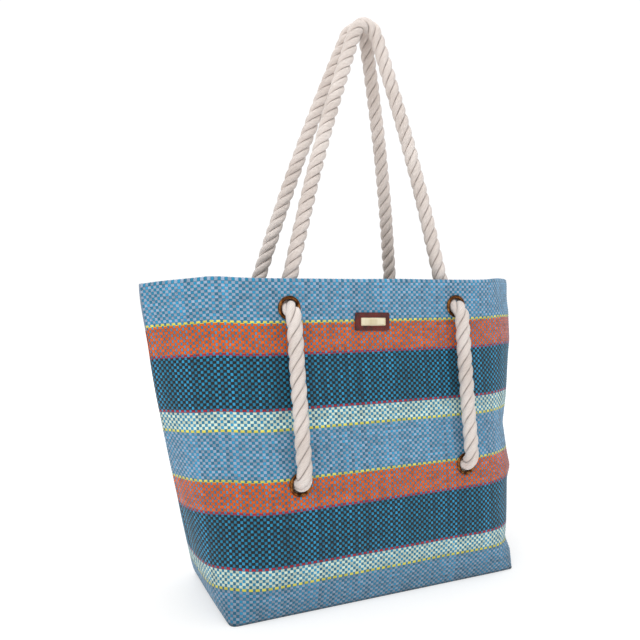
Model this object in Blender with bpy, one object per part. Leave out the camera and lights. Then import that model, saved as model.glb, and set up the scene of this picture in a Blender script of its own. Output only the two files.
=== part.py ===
"""A striped straw beach bag with two rope handles, modelled in Blender 4.5.

Metres, +Z up.  The origin is the middle of the base's underside, the wide front
panel faces -Y and the bag's left side is at -X.  The two woven panels, with their
linings and facings, follow one curved surface for each side of the bag: `surface`
gives a point of it from s (-1 at the left side seam, 1 at the right one) and t
(0 at the base edge, 1 at the rim).
"""

import math

import bmesh
import bpy
import numpy as np
from mathutils import Matrix, Vector

# Woven body
PANEL_WIDTH = 0.560  # one panel, side seam to side seam, along the cloth
PANEL_HEIGHT = 0.374  # base edge to rim, along the cloth
BASE_DEPTH = 0.176
CORNER_SPAN = 0.06  # of half a panel: the cloth that bends around a base corner
CORNER_FADE = 9.0  # how soon the sharp base corners open out going up
MOUTH_TURN = math.radians(54)  # how far each panel has turned in where it meets the side seam
MOUTH_TURN_START = 0.387  # of half a panel, from its middle
MOUTH_TURN_SPAN = 0.617
MOUTH_LEAN = (-0.015, -0.016)  # the rim's middle, off the base's middle
BACK_SKEW = 0.35  # the back of the mouth stands this much fuller on the right
TUCK_OUT, TUCK_UP = 0.002, 0.002  # the base's short ends stand out and lift at the seam
TUCK_START, TUCK_TOP = 0.72, 0.25
END_SKEW = 0.0146  # the base's left end runs in by this much towards the back
SEAM_FLARE, FLARE_START, FLARE_REACH = 0.0045, 0.8, 0.12  # the left side seam stands out at the rim

# Layers, outside to inside, with the gap between them
WEAVE, LINING, FACING = 0.0018, 0.0008, 0.0014
GAP = 0.0003
BOARD = 0.0025
BOARD_INSET, BOARD_CORNER = 0.0042, 0.012
BOARD_LENGTH = 0.330
FACING_DROP = 0.050  # how far the facing reaches down from the rim
FACING_FOOT = 1 - FACING_DROP / PANEL_HEIGHT  # and the t where it ends
BASE_REACH = 0.985  # how near the base's outline comes to the side seams, on the panels' scale
LINING_FOOT = (WEAVE + GAP * 2) / PANEL_HEIGHT  # t where the lining stands, just over the base

# Grommets: eyelet with its barrel, and a washer inside
EYE_RADIUS, BARREL_RADIUS, FLANGE_RADIUS, WASHER_RADIUS = 0.0098, 0.0106, 0.0134, 0.0132
FLANGE_RISE, WASHER, LIP, LIP_FLARE = 0.0016, 0.0010, 0.0007, 0.0012
SEAT_GAP = 0.0010  # under a flat flange or washer, where the cloth curves away from it
HOLE_RADIUS = BARREL_RADIUS + GAP
GROMMET_S = 0.397
UPPER_T, LOWER_T = 1 - 9.9 / 118, 1 - 70.7 / 118

# Rope
ROPE_RADIUS = 0.0087
ROPE_BEND = 0.012  # the rope's centreline, where it turns through an eyelet
ROPE_SIDES_RESOLUTION = 2
KNOT_LENGTH, KNOT_RADIUS, TAIL = 0.040, 0.021, 0.028
HINGE_DEPTH, HINGE_DROP = 0.003, 0.0015  # the fold line of a handle, inside the rim's edge
HANDLE_APEX = (0.004, -0.018, 0.684)  # where the two handles lean together
HANDLE_SPLIT = 0.0197  # between the two centrelines up there
HANDLE_TOP_BEND = 0.0150
HANDLE_BOW = 0.005
RIM_LEAN = 0.009  # how far a rope has leaned towards the middle where it passes the rim

# Label
PATCH_SIZE, PLATE_SIZE = (0.045, 0.0205, 0.0016), (0.032, 0.0088, 0.0008)
PATCH_S, PATCH_T = -0.0285, 1 - 15.2 / 118
PATCH_TURN = math.radians(-3.3)  # along the rows of the leaning cloth
PATCH_CORNER, PLATE_CORNER = 0.002, 0.0008

SIDES, ENDS = ("left", "right"), ("upper", "lower")


def clear_scene():
    for obj in list(bpy.data.objects):
        bpy.data.objects.remove(obj, do_unlink=True)


def material(name, colour, roughness, metallic=0.0):
    mat = bpy.data.materials.new(name)
    mat.use_nodes = True
    shader = mat.node_tree.nodes["Principled BSDF"]
    shader.inputs["Base Color"].default_value = (*colour, 1.0)
    shader.inputs["Roughness"].default_value = roughness
    shader.inputs["Metallic"].default_value = metallic
    mat.diffuse_color = (*colour, 1.0)
    return mat


def smooth(x):
    x = np.clip(x, 0.0, 1.0)
    return x * x * (3 - 2 * x)


def running_sum(values, step):
    """The integral of a sampled curve, from its start."""
    return np.concatenate([[0.0], np.cumsum((values[1:] + values[:-1]) / 2 * step)])


def half_section(turn, start, span):
    """Half of a panel's plan, from its middle to the seam, which is at y = 0."""
    along = np.linspace(0, 1, 161)
    heading = turn * smooth((along - start) / span)
    step = PANEL_WIDTH / 2 / 160
    x, y = running_sum(np.cos(heading), step), running_sum(np.sin(heading), step)
    return x, y - y[-1]


def woven_surface(back):
    """The panel's outer surface as a table of points, [height, along], and its two axes."""
    heights = np.linspace(0, 1, 97)
    along = np.linspace(-1, 1, 321)
    plan = []
    for t in heights:
        opened, unbent = smooth(t), 1 - (1 - t) ** CORNER_FADE
        turn = (1 - opened) * math.pi / 2 + opened * MOUTH_TURN
        corner = 1 - BASE_DEPTH / PANEL_WIDTH - CORNER_SPAN / 2
        start = (1 - unbent) * corner + unbent * MOUTH_TURN_START
        span = (1 - unbent) * CORNER_SPAN + unbent * MOUTH_TURN_SPAN
        x, y = half_section(turn, start, span)
        x, y = np.concatenate([-x[:0:-1], x]), np.concatenate([y[:0:-1], y])
        if back:
            y = -y * (1 + BACK_SKEW * opened * along)
        tucked = smooth((np.abs(along) - TUCK_START) / (1 - TUCK_START))
        tucked = tucked * max(0.0, 1 - t / TUCK_TOP) ** 2
        x = x + np.sign(along) * TUCK_OUT * tucked
        end = (PANEL_WIDTH - BASE_DEPTH) / 2
        backward = np.clip(y / BASE_DEPTH + 0.5, 0, 1) * np.clip(-x / end, 0, 1)
        flared = smooth((t - FLARE_START) / (1 - FLARE_START))
        flared = flared * np.clip(-x / FLARE_REACH - 1, 0, 1) ** 2
        x = x + END_SKEW * backward * (1 - t) ** 2 - SEAM_FLARE * flared
        plan.append(np.stack([x + MOUTH_LEAN[0] * t, y + MOUTH_LEAN[1] * t], axis=-1))
    plan = np.array(plan)
    moved = np.linalg.norm(np.diff(plan, axis=0), axis=2)
    rise = np.sqrt((PANEL_HEIGHT / 96) ** 2 - np.minimum(moved, 0.9 * PANEL_HEIGHT / 96) ** 2)
    foot = TUCK_UP * smooth((np.abs(along) - TUCK_START) / (1 - TUCK_START))
    z = np.concatenate([foot[None], foot + np.cumsum(rise, axis=0)])
    return np.concatenate([plan, z[..., None]], axis=2), heights, along


SURFACES = {False: woven_surface(False), True: woven_surface(True)}


def cloth_stops():
    """Where every layer has its columns and rows, so that the layers stay apart as facets too."""
    bend = 1 - BASE_DEPTH / PANEL_WIDTH
    half = np.concatenate([
        np.linspace(0, bend - CORNER_SPAN, 6, endpoint=False),
        np.linspace(bend - CORNER_SPAN, bend + CORNER_SPAN, 5, endpoint=False),
        np.linspace(bend + CORNER_SPAN, 1, 3, endpoint=False),
    ])
    heights = [0, LINING_FOOT, 3.5 * LINING_FOOT, *(np.linspace(0, 1, 10)[1:-2] ** 1.3)]
    heights += [FACING_FOOT, (1 + FACING_FOOT) / 2, 1]
    return np.concatenate([-half[:0:-1], half]), heights


ALONG_STOPS, HEIGHT_STOPS = cloth_stops()


def surface(back, s, t):
    table, heights, along = SURFACES[back]
    i = min(max(t, 0.0), 1.0) * (len(heights) - 1)
    j = (min(max(s, -1.0), 1.0) + 1) / 2 * (len(along) - 1)
    i0, j0 = min(int(i), len(heights) - 2), min(int(j), len(along) - 2)
    u, v = i - i0, j - j0
    low = table[i0, j0] * (1 - v) + table[i0, j0 + 1] * v
    high = table[i0 + 1, j0] * (1 - v) + table[i0 + 1, j0 + 1] * v
    return Vector(low * (1 - u) + high * u)


def directions(back, s, t):
    """The surface's own axes: right along the cloth, up along it, and outwards."""
    ds, dt = 0.012, 0.02
    right = surface(back, s + ds, t) - surface(back, s - ds, t)
    up = surface(back, s, t + dt) - surface(back, s, t - dt)
    out = right.cross(up).normalized() * (-1 if back else 1)
    up = (up - out * up.dot(out)).normalized()
    return up.cross(out), up, out


def offset_point(back, s, t, inwards):
    """A point that far under the outer surface, level with the surface point above it."""
    out = directions(back, s, t)[2]
    flat = Vector((out.x, out.y, 0)).normalized()
    return surface(back, s, t) - flat * inwards


def new_object(name, mesh, mat):
    obj = bpy.data.objects.new(name, mesh)
    bpy.context.scene.collection.objects.link(obj)
    mesh.materials.append(mat)
    return obj


def mesh_object(name, points, faces, mat, origin=(0, 0, 0)):
    mesh = bpy.data.meshes.new(name)
    origin = Vector(origin)
    mesh.from_pydata([Vector(p) - origin for p in points], [], faces)
    work = bmesh.new()
    work.from_mesh(mesh)
    bmesh.ops.recalc_face_normals(work, faces=work.faces)
    work.to_mesh(mesh)
    work.free()
    mesh.shade_smooth()
    mesh.set_sharp_from_angle(angle=math.radians(35))
    obj = new_object(name, mesh, mat)
    obj.location = origin
    return obj


def grid_shell(name, outer, inner, mat):
    """A closed sheet between two equal grids of points."""
    rows, columns = len(outer), len(outer[0])
    points = [p for row in outer for p in row] + [p for row in inner for p in row]

    def at(layer, i, j):
        return layer * rows * columns + i * columns + j

    faces = []
    for i in range(rows - 1):
        for j in range(columns - 1):
            # the same diagonal everywhere, so that neighbouring layers can't cross
            for layer in (0, 1):
                faces.append([at(layer, i, j), at(layer, i, j + 1), at(layer, i + 1, j + 1)])
                faces.append([at(layer, i, j), at(layer, i + 1, j + 1), at(layer, i + 1, j)])
    rim = [(0, j) for j in range(columns)] + [(i, columns - 1) for i in range(1, rows)]
    rim += [(rows - 1, j) for j in range(columns - 2, -1, -1)]
    rim += [(i, 0) for i in range(rows - 2, 0, -1)]
    for a, b in zip(rim, rim[1:] + rim[:1]):
        faces.append([at(0, *a), at(0, *b), at(1, *b), at(1, *a)])
    return mesh_object(name, points, faces, mat)


def sample(low, high, stops):
    """The shared stops that lie between low and high, with those two at the ends."""
    margin = 0.004
    return [low, *(x for x in stops if low + margin < x < high - margin), high]


def cloth_layer(name, back, mat, depth, thickness, low, high, seam_inset):
    """A layer of one side of the bag, from t = low to t = high, held back from the side seams."""
    reach = 1 - seam_inset / (PANEL_WIDTH / 2)
    along, heights = sample(-reach, reach, ALONG_STOPS), sample(low, high, HEIGHT_STOPS)
    outer = [[offset_point(back, s, t, depth) for s in along] for t in heights]
    inner = [[offset_point(back, s, t, depth + thickness) for s in along] for t in heights]
    return grid_shell(name, outer, inner, mat)


def base_sheet(name, mat):
    """The woven base: it fills the foot of the panels, flat but for its lifted short ends."""
    along = sample(-BASE_REACH, BASE_REACH, ALONG_STOPS)
    loop = [(False, s) for s in along] + [(True, s) for s in reversed(along)]
    outline = [offset_point(back, s, 0, WEAVE + 2.5 * GAP) for back, s in loop]
    rings = (1.0, 0.965, 0.93, 0.7)
    points, faces = [], []
    for level in (0, WEAVE):
        for scale in rings:
            lifted = smooth((scale - rings[2]) / (1 - rings[2]))
            points += [Vector((p.x * scale, p.y * scale, p.z * lifted + level)) for p in outline]
        points.append(Vector((0, 0, level)))
    count, layer = len(outline), len(outline) * len(rings) + 1
    for j in range(count):
        k = (j + 1) % count
        for side in (0, layer):
            for ring in range(len(rings) - 1):
                a, b = side + ring * count, side + (ring + 1) * count
                faces.append([a + j, a + k, b + k, b + j])
            last = side + (len(rings) - 1) * count
            faces.append([last + j, last + k, side + layer - 1])
        faces.append([j, k, layer + k, layer + j])
    return mesh_object(name, points, faces, mat)


def rounded_plate(name, size, corner, mat, place, segments=4):
    """A flat plate with round corners, its underside centred on `place` and its face along local +Z."""
    half_x, half_y = size[0] / 2 - corner, size[1] / 2 - corner
    outline = []
    for quarter, (sx, sy) in enumerate([(1, 1), (-1, 1), (-1, -1), (1, -1)]):
        for step in range(segments + 1):
            angle = math.radians(90 * quarter + 90 * step / segments)
            x = sx * half_x + corner * math.cos(angle)
            outline.append((x, sy * half_y + corner * math.sin(angle)))
    work = bmesh.new()
    bottom = work.faces.new([work.verts.new((x, y, 0)) for x, y in outline])
    top = bmesh.ops.extrude_face_region(work, geom=[bottom])
    for vert in (v for v in top["geom"] if isinstance(v, bmesh.types.BMVert)):
        vert.co.z += size[2]
    bmesh.ops.recalc_face_normals(work, faces=work.faces)
    mesh = bpy.data.meshes.new(name)
    work.to_mesh(mesh)
    work.free()
    obj = new_object(name, mesh, mat)
    obj.matrix_world = place
    return obj


def turned(name, profile, mat, place, segments=18):
    """A closed profile of (radius, height) turned about local Z."""
    points, faces, count = [], [], len(profile)
    for k in range(segments):
        angle = 2 * math.pi * k / segments
        points += [(r * math.cos(angle), r * math.sin(angle), h) for r, h in profile]
    for k in range(segments):
        a, b = k * count, (k + 1) % segments * count
        for i in range(count):
            j = (i + 1) % count
            faces.append([a + i, a + j, b + j, b + i])
    obj = mesh_object(name, points, faces, mat)
    obj.matrix_world = place
    return obj


def place_on(back, s, t, lift=0.0):
    """A frame on the outer surface: X along the cloth, Y up it, Z outwards."""
    right, up, out = directions(back, s, t)
    place = Matrix((right, up, out)).transposed().to_4x4()
    place.translation = surface(back, s, t) + out * lift
    return place


def tube(name, points, radius, mat, origin=(0, 0, 0)):
    curve = bpy.data.curves.new(name, "CURVE")
    curve.dimensions = "3D"
    curve.bevel_depth = radius
    curve.bevel_resolution = ROPE_SIDES_RESOLUTION
    curve.use_fill_caps = True
    spline = curve.splines.new("POLY")
    spline.points.add(len(points) - 1)
    for target, point in zip(spline.points, points):
        target.co = (*(Vector(point) - Vector(origin)), 1)
    obj = new_object(name, curve, mat)
    obj.location = origin
    return obj


def hole_cutter(name, back):
    """Pins through all layers of a panel, one at each of its four grommets."""
    work = bmesh.new()
    for side in (-1, 1):
        for t in (UPPER_T, LOWER_T):
            bmesh.ops.create_cone(
                work, cap_ends=True, segments=18, radius1=HOLE_RADIUS, radius2=HOLE_RADIUS,
                depth=0.03, matrix=place_on(back, side * GROMMET_S, t),
            )
    mesh = bpy.data.meshes.new(name)
    work.to_mesh(mesh)
    work.free()
    obj = bpy.data.objects.new(name, mesh)
    bpy.context.scene.collection.objects.link(obj)
    obj.hide_render = True
    obj.display_type = "WIRE"
    return obj


def cut(obj, cutter):
    modifier = obj.modifiers.new("grommet_holes", "BOOLEAN")
    modifier.operation = "DIFFERENCE"
    modifier.object = cutter


def stack_depth(end):
    """How thick the cloth is where a grommet goes through."""
    depth = WEAVE + GAP + LINING
    return depth + GAP + FACING if end == "upper" else depth


def grommet(prefix, back, side, end, brass):
    s, t = side * GROMMET_S, UPPER_T if end == "upper" else LOWER_T
    place = place_on(back, s, t)
    inside = -stack_depth(end) - SEAT_GAP
    washer_low = inside - WASHER
    lip_low = washer_low - GAP - LIP
    lip_radius = BARREL_RADIUS + LIP_FLARE
    half_width = (FLANGE_RADIUS - EYE_RADIUS) / 2
    dome = [
        (EYE_RADIUS + half_width * (1 - math.cos(a)), SEAT_GAP + FLANGE_RISE * math.sin(a) ** 0.8)
        for a in (math.pi * k / 4 for k in range(1, 4))
    ]
    eyelet = [(EYE_RADIUS, lip_low), (EYE_RADIUS, SEAT_GAP + FLANGE_RISE * 0.3), *dome]
    eyelet += [(FLANGE_RADIUS, SEAT_GAP), (BARREL_RADIUS, SEAT_GAP), (BARREL_RADIUS, lip_low + LIP)]
    eyelet += [(lip_radius, lip_low + LIP), (lip_radius, lip_low)]
    turned(f"{prefix}_grommet", eyelet, brass, place)
    washer = [(HOLE_RADIUS, washer_low), (WASHER_RADIUS, washer_low)]
    washer += [(WASHER_RADIUS, inside), (HOLE_RADIUS, inside)]
    turned(f"{prefix}_washer", washer, brass, place)


def bend(centre, start, towards, radius, steps=4):
    """A quarter turn about `centre`, from its `start` side to its `towards` side."""
    angles = (math.pi / 2 * k / steps for k in range(steps + 1))
    return [centre + start * radius * math.cos(a) + towards * radius * math.sin(a) for a in angles]


def rim_exit(back, side):
    """Where a rope passes the rim, inside the bag: the point, and the fold line's point beside it."""
    s = side * GROMMET_S
    right, up, out = directions(back, s, 0.995)
    level = surface(back, s, 1) - up * HINGE_DROP
    fold = level - out * HINGE_DEPTH
    depth = rope_depth()
    inner = level - out * depth + right * RIM_LEAN * (side if back else -side)
    return inner, fold


def rope_depth():
    """How far inside the outer surface the rope climbs to the rim."""
    return stack_depth("upper") + WASHER + LIP + 3 * GAP - 0.0018 + ROPE_BEND


def handle_frame(back):
    """The fold line's middle and direction, and the middle of the rope's two rim exits."""
    (left_exit, left_fold), (right_exit, right_fold) = rim_exit(back, -1), rim_exit(back, 1)
    axis = (right_fold - left_fold).normalized()
    return (left_fold + right_fold) / 2, axis, left_exit, right_exit


def handle_route(back):
    """The loop above the rim, from its left end to its right end."""
    _, axis, left, right = handle_frame(back)
    apex = Vector(HANDLE_APEX) + Vector((0, HANDLE_SPLIT / 2 * (1 if back else -1), 0))
    middle = (left + right) / 2
    across = (right - left).normalized()
    rise = apex - middle
    shift = rise.dot(across)
    upward = (rise - across * shift).normalized()
    height = rise.dot(upward) - HANDLE_TOP_BEND
    route = []
    for side, foot in ((-1, left), (1, right)):
        run = abs((foot - middle).dot(across)) + side * shift * -1
        slope = math.atan2(run, height)
        lean = slope - math.asin(HANDLE_TOP_BEND / math.hypot(run, height))
        tangent = math.pi / 2 - lean
        centre = middle + across * shift + upward * height
        top = [
            centre + (across * side * math.sin(a) + upward * math.cos(a)) * HANDLE_TOP_BEND
            for a in (tangent * k / 4 for k in range(5))
        ]
        steps = 11
        leg = []
        for k in range(1, steps + 1):
            u = k / steps
            point = top[-1].lerp(foot, u) + across * side * HANDLE_BOW * math.sin(math.pi * u)
            leg.append(point)
        half = top + leg
        route.append(half)
    return route[0][::-1] + route[1][1:]


def fixed_rope_route(back, side):
    """From the inside knot out of the lower eyelet, up the outside, in at the upper one and up to the rim."""
    s = side * GROMMET_S
    _, low_up, low_out = directions(back, s, LOWER_T)
    _, high_up, high_out = directions(back, s, UPPER_T)
    low, high = surface(back, s, LOWER_T), surface(back, s, UPPER_T)
    lead = 0.0005
    route = [low - low_out * 0.0100, low - low_out * 0.004]
    route += bend(low + low_out * lead + low_up * ROPE_BEND, -low_up, low_out, ROPE_BEND)
    for t in np.linspace(LOWER_T, UPPER_T, 7)[1:-1]:
        route.append(surface(back, s, t) + directions(back, s, t)[2] * (lead + ROPE_BEND))
    route += bend(high + high_out * lead - high_up * ROPE_BEND, high_out, high_up, ROPE_BEND)
    turn_depth = rope_depth() - ROPE_BEND
    route += bend(high - high_out * turn_depth + high_up * ROPE_BEND, -high_up, -high_out, ROPE_BEND)[:-1]
    exit_point = rim_exit(back, side)[0]
    loop = handle_route(back)
    foot, above = (loop[-1], loop[-2]) if side > 0 else (loop[0], loop[1])
    direction = (above - foot).normalized()
    route.append(exit_point - direction * 0.0055)
    route.append(exit_point - direction * 0.0006)
    return route


def knot(name, back, side, mat):
    """The stopper knot inside a lower eyelet, with its tail, as a turned solid."""
    place = place_on(back, side * GROMMET_S, LOWER_T) @ Matrix.Rotation(math.pi, 4, "X")
    start = 0.0100 + GAP * 1.5
    body = [
        (0.006 + (KNOT_RADIUS - 0.006) * math.sin(a) ** 0.7, start + KNOT_LENGTH * (1 - math.cos(a)) / 2)
        for a in (math.pi * k / 7 for k in range(8))
    ]
    points, faces, segments = [], [], 12
    rings = body + [(ROPE_RADIUS, start + KNOT_LENGTH + 0.002), (ROPE_RADIUS, start + KNOT_LENGTH + TAIL)]
    for r, h in rings:
        points += [
            (r * math.cos(2 * math.pi * k / segments), r * math.sin(2 * math.pi * k / segments), h)
            for k in range(segments)
        ]
    for i in range(len(rings) - 1):
        for k in range(segments):
            j = (k + 1) % segments
            a, b = i * segments, (i + 1) * segments
            faces.append([a + k, a + j, b + j, b + k])
    faces.append(list(range(segments)))
    faces.append([(len(rings) - 1) * segments + k for k in range(segments)])
    obj = mesh_object(name, points, faces, mat)
    obj.matrix_world = place
    return obj


def main():
    clear_scene()
    straw = material("striped_straw", (0.16, 0.42, 0.58), 0.75)
    lining = material("cotton_lining", (0.80, 0.74, 0.62), 0.9)
    board = material("base_board", (0.25, 0.2, 0.15), 0.8)
    brass = material("antique_brass", (0.28, 0.17, 0.06), 0.4, 1.0)
    cotton = material("cotton_rope", (0.78, 0.72, 0.62), 0.9)
    leather = material("leather", (0.16, 0.03, 0.02), 0.55)
    gilt = material("pale_gilt", (0.80, 0.66, 0.42), 0.35, 1.0)

    lining_depth = WEAVE + GAP
    facing_depth = lining_depth + LINING + GAP
    for back, word in ((False, "front"), (True, "back")):
        panel = cloth_layer(f"{word}_panel", back, straw, 0, WEAVE, 0, 1, 0.0021)
        inner = cloth_layer(f"{word}_lining", back, lining, lining_depth, LINING, LINING_FOOT, 0.994, 0.0033)
        facing = cloth_layer(f"{word}_rim_facing", back, straw, facing_depth, FACING, FACING_FOOT, 1, 0.005)
        cutter = hole_cutter(f"{word}_hole_cutter", back)
        for layer in (panel, inner, facing):
            cut(layer, cutter)
        for side, side_word in zip((-1, 1), SIDES):
            for end in ENDS:
                grommet(f"{word}_{end}_{side_word}", back, side, end, brass)
            tube(f"{word}_{side_word}_rope", fixed_rope_route(back, side), ROPE_RADIUS, cotton)
            knot(f"{word}_{side_word}_knot", back, side, cotton)
        fold, axis = handle_frame(back)[:2]
        tube(f"{word}_handle", handle_route(back), ROPE_RADIUS, cotton, fold)

    base_sheet("base_panel", straw)
    level = WEAVE + GAP
    size = (BOARD_LENGTH, BASE_DEPTH - 2 * BOARD_INSET, BOARD)
    rounded_plate("base_board", size, BOARD_CORNER, board, Matrix.Translation((0, 0, level)))
    size = (size[0], size[1], LINING)
    level += BOARD + GAP
    rounded_plate("base_lining", size, BOARD_CORNER, lining, Matrix.Translation((0, 0, level)))
    plate_lift = SEAT_GAP + PATCH_SIZE[2] + GAP
    for name, size, corner, mat, lift in (
        ("label_patch", PATCH_SIZE, PATCH_CORNER, leather, SEAT_GAP),
        ("label_plate", PLATE_SIZE, PLATE_CORNER, gilt, plate_lift),
    ):
        place = place_on(False, PATCH_S, PATCH_T, lift) @ Matrix.Rotation(PATCH_TURN, 4, "Z")
        rounded_plate(name, size, corner, mat, place)
    bpy.context.view_layer.update()


main()
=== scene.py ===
"""Looks for the striped straw beach bag: woven panels, lining, twisted rope handles, fittings.

Metres, +Z up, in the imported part's frame.  `cloth` gives points of the bag's outer surface
from s (-1 at the left side seam, 1 at the right one) and t (0 at the base edge, 1 at the rim).
"""

import math

import bmesh
import bpy
import numpy as np
from mathutils import Matrix, Vector


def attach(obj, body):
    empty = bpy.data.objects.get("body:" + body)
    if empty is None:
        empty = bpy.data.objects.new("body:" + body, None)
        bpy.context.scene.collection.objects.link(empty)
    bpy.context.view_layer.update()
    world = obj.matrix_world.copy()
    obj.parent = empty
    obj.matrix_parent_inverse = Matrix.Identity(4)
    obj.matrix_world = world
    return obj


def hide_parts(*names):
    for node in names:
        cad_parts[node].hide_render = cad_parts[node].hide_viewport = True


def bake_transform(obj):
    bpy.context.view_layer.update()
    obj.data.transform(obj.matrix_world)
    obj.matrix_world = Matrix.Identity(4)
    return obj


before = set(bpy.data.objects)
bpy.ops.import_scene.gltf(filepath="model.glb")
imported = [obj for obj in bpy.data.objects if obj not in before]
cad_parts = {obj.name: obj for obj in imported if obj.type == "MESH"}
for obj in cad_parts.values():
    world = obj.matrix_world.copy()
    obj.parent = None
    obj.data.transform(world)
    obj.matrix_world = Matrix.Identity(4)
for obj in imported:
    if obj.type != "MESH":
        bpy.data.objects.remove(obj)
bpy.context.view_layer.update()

# ---- the part's own dimensions, as in its source ----
PANEL_WIDTH, PANEL_HEIGHT, BASE_DEPTH = 0.560, 0.374, 0.176
CORNER_SPAN, CORNER_FADE = 0.06, 9.0
MOUTH_TURN, MOUTH_TURN_START, MOUTH_TURN_SPAN = math.radians(54), 0.387, 0.617
MOUTH_LEAN, BACK_SKEW = (-0.015, -0.016), 0.35
TUCK_OUT, TUCK_UP, TUCK_START, TUCK_TOP = 0.002, 0.002, 0.72, 0.25
END_SKEW, SEAM_FLARE, FLARE_START, FLARE_REACH = 0.0146, 0.0045, 0.8, 0.12
WEAVE, LINING, FACING, GAP = 0.0018, 0.0008, 0.0014, 0.0003
FACING_DROP, BASE_REACH = 0.050, 0.985
BARREL_RADIUS, FLANGE_RADIUS = 0.0106, 0.0134
WASHER, LIP = 0.0010, 0.0007
GROMMET_S = 0.397
UPPER_T, LOWER_T = 1 - 9.9 / 118, 1 - 70.7 / 118
PATCH_S, PATCH_T, PATCH_TURN = -0.0285, 1 - 15.2 / 118, math.radians(-3.3)
ROPE_RADIUS, ROPE_BEND = 0.0087, 0.012
HINGE_DROP = 0.0015
HANDLE_APEX, HANDLE_SPLIT = (0.004, -0.018, 0.684), 0.0197
HANDLE_TOP_BEND, HANDLE_BOW, RIM_LEAN = 0.0150, 0.005, 0.009

# ---- the weave ----
COLUMNS, ROWS = 158, 118  # cells of one panel
FOLD_ROWS = 15  # rows of the facing, inside the mouth
PER_CELL = 2  # mesh faces along one cell
RELIEF = 0.00055  # how far a cell's middle stands out
INSIDE_DEPTH = WEAVE + GAP + LINING + GAP + FACING
TABLE_ROWS, TABLE_COLUMNS = 96, 320  # how finely the part's surface is worked out

FACES = ((False, "front"), (True, "back"))
SIDES = ((-1, "left"), (1, "right"))
GROMMETS = [(side, end) for side, _ in SIDES for end in ("upper", "lower")]
RNG = np.random.default_rng(7)


def smooth(x):
    x = np.clip(x, 0.0, 1.0)
    return x * x * (3 - 2 * x)


def running_sum(values, step):
    return np.concatenate([[0.0], np.cumsum((values[1:] + values[:-1]) / 2 * step)])


def half_section(turn, start, span):
    """Half of a panel's plan, from its middle to the seam."""
    along = np.linspace(0, 1, TABLE_COLUMNS // 2 + 1)
    heading = turn * smooth((along - start) / span)
    step = PANEL_WIDTH / TABLE_COLUMNS
    x, y = running_sum(np.cos(heading), step), running_sum(np.sin(heading), step)
    return x, y - y[-1]


def woven_surface(back):
    """The part's outer surface as a table of points [height, along]."""
    along, plan = np.linspace(-1, 1, TABLE_COLUMNS + 1), []
    level = PANEL_HEIGHT / TABLE_ROWS
    for t in np.linspace(0, 1, TABLE_ROWS + 1):
        opened, unbent = smooth(t), 1 - (1 - t) ** CORNER_FADE
        turn = (1 - opened) * math.pi / 2 + opened * MOUTH_TURN
        corner = 1 - BASE_DEPTH / PANEL_WIDTH - CORNER_SPAN / 2
        start = (1 - unbent) * corner + unbent * MOUTH_TURN_START
        span = (1 - unbent) * CORNER_SPAN + unbent * MOUTH_TURN_SPAN
        x, y = half_section(turn, start, span)
        x, y = np.concatenate([-x[:0:-1], x]), np.concatenate([y[:0:-1], y])
        if back:
            y = -y * (1 + BACK_SKEW * opened * along)
        tucked = smooth((np.abs(along) - TUCK_START) / (1 - TUCK_START))
        tucked = tucked * max(0.0, 1 - t / TUCK_TOP) ** 2
        x = x + np.sign(along) * TUCK_OUT * tucked
        end = (PANEL_WIDTH - BASE_DEPTH) / 2
        backward = np.clip(y / BASE_DEPTH + 0.5, 0, 1) * np.clip(-x / end, 0, 1)
        flared = smooth((t - FLARE_START) / (1 - FLARE_START))
        flared = flared * np.clip(-x / FLARE_REACH - 1, 0, 1) ** 2
        x = x + END_SKEW * backward * (1 - t) ** 2 - SEAM_FLARE * flared
        plan.append(np.stack([x + MOUTH_LEAN[0] * t, y + MOUTH_LEAN[1] * t], axis=-1))
    plan = np.array(plan)
    moved = np.linalg.norm(np.diff(plan, axis=0), axis=2)
    rise = np.sqrt(level ** 2 - np.minimum(moved, 0.9 * level) ** 2)
    foot = TUCK_UP * smooth((np.abs(along) - TUCK_START) / (1 - TUCK_START))
    z = np.concatenate([foot[None], foot + np.cumsum(rise, axis=0)])
    return np.concatenate([plan, z[..., None]], axis=2)


TABLES = {False: woven_surface(False), True: woven_surface(True)}


def looked_up(table, s, t):
    """What a table [height, along] of the cloth holds at arrays of s and t."""
    s, t = np.broadcast_arrays(np.asarray(s, float), np.asarray(t, float))
    rows, columns = table.shape[0] - 1, table.shape[1] - 1
    i, j = np.clip(t, 0, 1) * rows, (np.clip(s, -1, 1) + 1) / 2 * columns
    i0, j0 = np.minimum(i.astype(int), rows - 1), np.minimum(j.astype(int), columns - 1)
    u, v = i - i0, j - j0
    if table.ndim == 3:
        u, v = u[..., None], v[..., None]
    low = table[i0, j0] * (1 - v) + table[i0, j0 + 1] * v
    high = table[i0 + 1, j0] * (1 - v) + table[i0 + 1, j0 + 1] * v
    return low * (1 - u) + high * u


def cloth(back, s, t):
    """Points of the part's outer surface, for arrays of s and t."""
    return looked_up(TABLES[back], s, t)


def unit(v):
    return v / np.maximum(np.linalg.norm(v, axis=-1, keepdims=True), 1e-12)


def flat_unit(v):
    """Directions turned level."""
    return unit(v * np.array([1, 1, 0]))


def axes(back, s, t):
    """The surface's directions for arrays: right along the cloth, up along it, and outwards."""
    ds, dt = 0.012, 0.02
    s, t = np.asarray(s, float), np.asarray(t, float)
    right = cloth(back, s + ds, t) - cloth(back, s - ds, t)
    up = cloth(back, s, t + dt) - cloth(back, s, t - dt)
    out = unit(np.cross(right, up)) * (-1 if back else 1)
    up = unit(up - out * np.sum(up * out, axis=-1, keepdims=True))
    return np.cross(up, out), up, out


def surface(back, s, t):
    return Vector(cloth(back, s, t))


def directions(back, s, t):
    return tuple(Vector(v) for v in axes(back, s, t))


# ---- camera ----
SENSOR, LENS = 36.0, 42.294375  # mm
CAMERA_PLACE, CAMERA_DOWN, CAMERA_TURN = (-0.4591, -0.8374, 0.3598), 2.278, -26.406


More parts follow.
